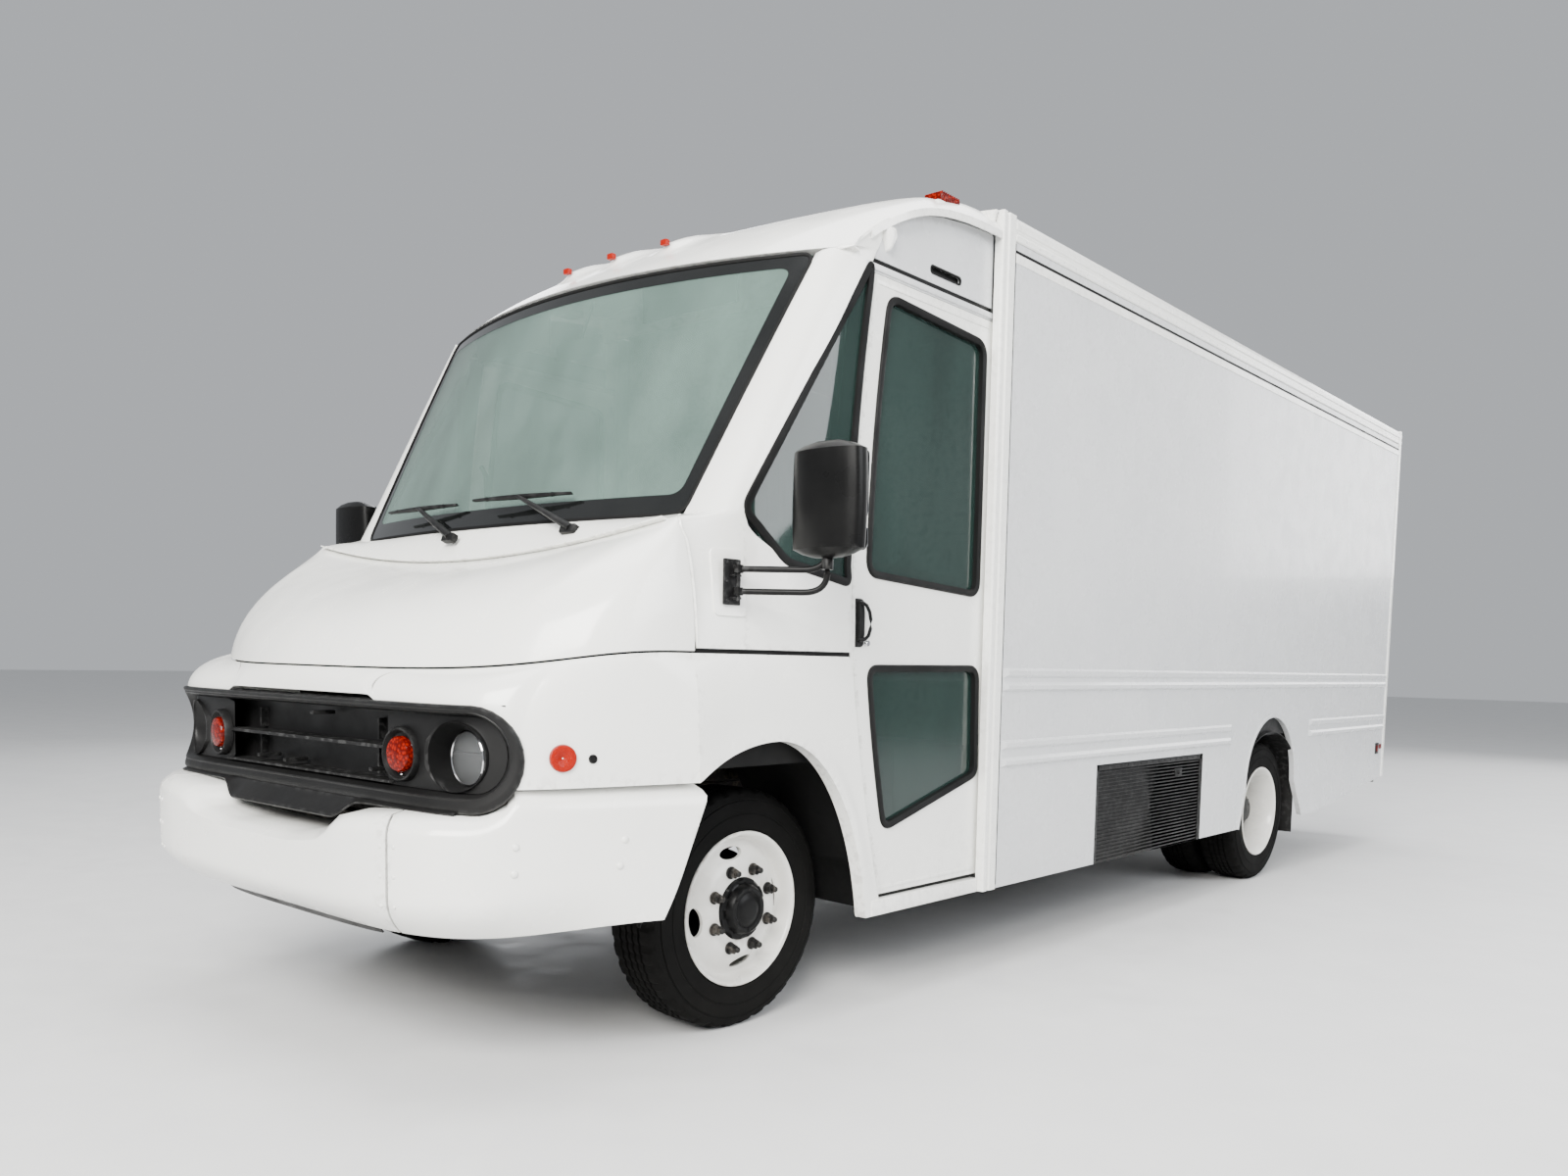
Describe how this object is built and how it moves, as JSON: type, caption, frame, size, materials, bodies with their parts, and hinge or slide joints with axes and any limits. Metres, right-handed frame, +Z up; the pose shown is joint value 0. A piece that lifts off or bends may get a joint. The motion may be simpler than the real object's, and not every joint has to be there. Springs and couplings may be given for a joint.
{
  "type": "delivery truck",
  "caption": "Walk-in delivery truck with a sloped nose, sliding cab doors, swinging rear doors, parcel shelves, steered front wheels and dual rear wheels.",
  "frame": {"origin": "centre of the truck's footprint, on the ground under the tyres", "axes": "+X to the driver's (left) side, +Y from the front bumper to the rear step, +Z up"},
  "size_m": [3.02, 7.9, 3],
  "materials": {
    "white_paint": "glossy white moulded glass-fibre panels",
    "side_paint": "satin light grey-white paint on aluminium sheet",
    "rim_paint": "white enamel on steel rims",
    "black_trim": "grained black moulded plastic",
    "rubber_black": "black rubber",
    "tyre": "tyre rubber",
    "glass": "green-tinted safety glass",
    "lamp_clear": "clear lamp lens",
    "lamp_amber": "amber lamp lens",
    "chassis_black": "satin black chassis paint",
    "cast_dark": "cast iron, dull",
    "spring_steel": "black painted spring steel",
    "engine_grey": "dull cast aluminium and iron",
    "pipe_steel": "dull aluminised steel",
    "tank_grey": "dark grey moulded fuel tank",
    "floor_grey": "aluminium plank floor",
    "liner_grey": "light grey paint on aluminium sheet",
    "dash_grey": "dark grey moulded dashboard",
    "seat_fabric": "dark blue-grey woven seat cover",
    "steel_dark": "dark steel"
  },
  "bodies": {
    "truck": {"chassis_frame": "chassis_black", "axle_beams": "cast_dark", "leaf_springs": "spring_steel", "powertrain": "engine_grey", "fuel_tank": "tank_grey", "exhaust": "pipe_steel", "floor_pan": "floor_grey", "side_wall_left": "side_paint", "side_wall_right": "side_paint", "roof_panel": "white_paint", "bulkhead": "liner_grey", "rear_frame": "white_paint", "cab_shell": "white_paint", "cab_side_left": "white_paint", "cab_side_right": "white_paint", "cab_glass": "glass", "fender_left": "white_paint", "fender_right": "white_paint", "nose_panel": "white_paint", "bumper": "white_paint", "grille_bezel": "black_trim", "front_lamps": "lamp_clear", "marker_lamps": "lamp_amber", "rub_rails": "side_paint", "access_panel": "black_trim", "dashboard": "dash_grey", "rear_bumper_step": "chassis_black", "cargo_shelves": "liner_grey", "mirror_brackets": "black_trim"},
    "driver_seat": {"driver_seat": "seat_fabric"},
    "cab_door_left": {"cab_door_left": "white_paint", "door_glass_left": "glass"},
    "cab_door_right": {"cab_door_right": "white_paint", "door_glass_right": "glass"},
    "door_handle_left": {"door_handle_left": "black_trim"},
    "door_handle_right": {"door_handle_right": "black_trim"},
    "hood": {"hood": "white_paint"},
    "wiper_left": {"wiper_left": "black_trim"},
    "wiper_right": {"wiper_right": "black_trim"},
    "mirror_arm_left": {"mirror_arm_left": "black_trim"},
    "mirror_arm_right": {"mirror_arm_right": "black_trim"},
    "mirror_head_left": {"mirror_head_left": "black_trim"},
    "mirror_head_right": {"mirror_head_right": "black_trim"},
    "knuckle_left": {"knuckle_left": "cast_dark"},
    "knuckle_right": {"knuckle_right": "cast_dark"},
    "wheel_front_left": {"tyre_front_left": "tyre", "rim_front_left": "rim_paint"},
    "wheel_front_right": {"tyre_front_right": "tyre", "rim_front_right": "rim_paint"},
    "wheels_rear_left": {"tyres_rear_left": "tyre", "rims_rear_left": "rim_paint"},
    "wheels_rear_right": {"tyres_rear_right": "tyre", "rims_rear_right": "rim_paint"},
    "rear_door_left": {"rear_door_left": "white_paint"},
    "rear_door_right": {"rear_door_right": "white_paint"},
    "rear_door_handle": {"rear_door_handle": "black_trim"},
    "steering_wheel": {"steering_wheel": "rubber_black"},
    "brake_pedal": {"brake_pedal": "steel_dark"},
    "accelerator_pedal": {"accelerator_pedal": "steel_dark"},
    "drive_shaft": {"drive_shaft": "steel_dark"}
  },
  "joints": [
    {"name": "seat_slide", "type": "slide", "parent": "truck", "child": "driver_seat", "axis": [0, 1, 0], "range_m": [-0.09, 0.09]},
    {"name": "cab_door_left_slide", "type": "slide", "parent": "truck", "child": "cab_door_left", "axis": [0, 1, 0], "range_m": [0, 0.68]},
    {"name": "cab_door_right_slide", "type": "slide", "parent": "truck", "child": "cab_door_right", "axis": [0, 1, 0], "range_m": [0, 0.68]},
    {"name": "door_handle_left_pull", "type": "hinge", "parent": "cab_door_left", "child": "door_handle_left", "pos_m": [1.153, -2.402, 1.38], "axis": [0, 0, -1], "range_deg": [0, 25], "stiffness_Nm_per_rad": 0.6},
    {"name": "door_handle_right_pull", "type": "hinge", "parent": "cab_door_right", "child": "door_handle_right", "pos_m": [-1.153, -2.402, 1.38], "axis": [0, 0, 1], "range_deg": [0, 25], "stiffness_Nm_per_rad": 0.6},
    {"name": "hood_tilt", "type": "hinge", "parent": "truck", "child": "hood", "pos_m": [0, -3.786, 1.188], "axis": [1, 0, 0], "range_deg": [0, 55]},
    {"name": "mirror_arm_left_fold", "type": "hinge", "parent": "truck", "child": "mirror_arm_left", "pos_m": [1.152, -2.99, 1.475], "axis": [0, 0, 1], "range_deg": [-85, 6]},
    {"name": "mirror_head_left_turn", "type": "hinge", "parent": "mirror_arm_left", "child": "mirror_head_left", "pos_m": [1.375, -2.835, 1.55], "axis": [0, 0, 1], "range_deg": [-20, 20]},
    {"name": "mirror_arm_right_fold", "type": "hinge", "parent": "truck", "child": "mirror_arm_right", "pos_m": [-1.152, -2.99, 1.475], "axis": [0, 0, -1], "range_deg": [-85, 6]},
    {"name": "mirror_head_right_turn", "type": "hinge", "parent": "mirror_arm_right", "child": "mirror_head_right", "pos_m": [-1.375, -2.835, 1.55], "axis": [0, 0, -1], "range_deg": [-20, 20]},
    {"name": "wiper_left_sweep", "type": "hinge", "parent": "truck", "child": "wiper_left", "pos_m": [0.545, -3.13869, 1.65], "axis": [-0.1106, 0.9145, -0.3891], "range_deg": [0, 85]},
    {"name": "wiper_right_sweep", "type": "hinge", "parent": "truck", "child": "wiper_right", "pos_m": [-0.1, -3.16898, 1.65], "axis": [0.0204, 0.921, -0.3891], "range_deg": [0, 85]},
    {"name": "steer_left", "type": "hinge", "parent": "truck", "child": "knuckle_left", "pos_m": [0.754, -2.75, 0.4055], "axis": [0, 0, 1], "range_deg": [-30, 30]},
    {"name": "steer_right", "type": "hinge", "parent": "truck", "child": "knuckle_right", "pos_m": [-0.754, -2.75, 0.4055], "axis": [0, 0, 1], "range_deg": [-30, 30]},
    {"name": "front_left_spin", "type": "hinge", "parent": "knuckle_left", "child": "wheel_front_left", "pos_m": [0.9, -2.75, 0.4055], "axis": [1, 0, 0], "continuous": true},
    {"name": "front_right_spin", "type": "hinge", "parent": "knuckle_right", "child": "wheel_front_right", "pos_m": [-0.9, -2.75, 0.4055], "axis": [1, 0, 0], "continuous": true},
    {"name": "rear_left_spin", "type": "hinge", "parent": "truck", "child": "wheels_rear_left", "pos_m": [0.89, 1.49, 0.4055], "axis": [1, 0, 0], "continuous": true},
    {"name": "rear_right_spin", "type": "hinge", "parent": "truck", "child": "wheels_rear_right", "pos_m": [-0.89, 1.49, 0.4055], "axis": [1, 0, 0], "continuous": true},
    {"name": "drive_shaft_spin", "type": "hinge", "parent": "truck", "child": "drive_shaft", "pos_m": [0, -1.96, 0.615], "axis": [0, 0.9979, -0.0647], "continuous": true},
    {"name": "rear_door_left_swing", "type": "hinge", "parent": "truck", "child": "rear_door_left", "pos_m": [1.046, 3.773, 1.8], "axis": [0, 0, -1], "range_deg": [0, 180]},
    {"name": "rear_door_right_swing", "type": "hinge", "parent": "truck", "child": "rear_door_right", "pos_m": [-1.046, 3.773, 1.8], "axis": [0, 0, 1], "range_deg": [0, 180]},
    {"name": "rear_handle_turn", "type": "hinge", "parent": "rear_door_left", "child": "rear_door_handle", "pos_m": [0.11, 3.77, 1.42], "axis": [0, -1, 0], "range_deg": [0, 90]},
    {"name": "steering_wheel_turn", "type": "hinge", "parent": "truck", "child": "steering_wheel", "pos_m": [0.52, -2.62, 1.47], "axis": [0, 0.6157, 0.788], "range_deg": [-480, 480]},
    {"name": "brake_pedal_press", "type": "hinge", "parent": "truck", "child": "brake_pedal", "pos_m": [0.415, -2.965, 1.215], "axis": [-1, 0, 0], "range_deg": [0, 18], "stiffness_Nm_per_rad": 12},
    {"name": "accelerator_press", "type": "hinge", "parent": "truck", "child": "accelerator_pedal", "pos_m": [0.625, -2.965, 1.215], "axis": [-1, 0, 0], "range_deg": [0, 18], "stiffness_Nm_per_rad": 6}
  ],
  "couplings": [
    {"joint": "steer_right", "follows": "steer_left", "ratio": 1},
    {"joint": "steering_wheel_turn", "follows": "steer_left", "ratio": 16},
    {"joint": "wiper_right_sweep", "follows": "wiper_left_sweep", "ratio": 1},
    {"joint": "rear_right_spin", "follows": "rear_left_spin", "ratio": 1},
    {"joint": "drive_shaft_spin", "follows": "rear_left_spin", "ratio": 4.1}
  ]
}
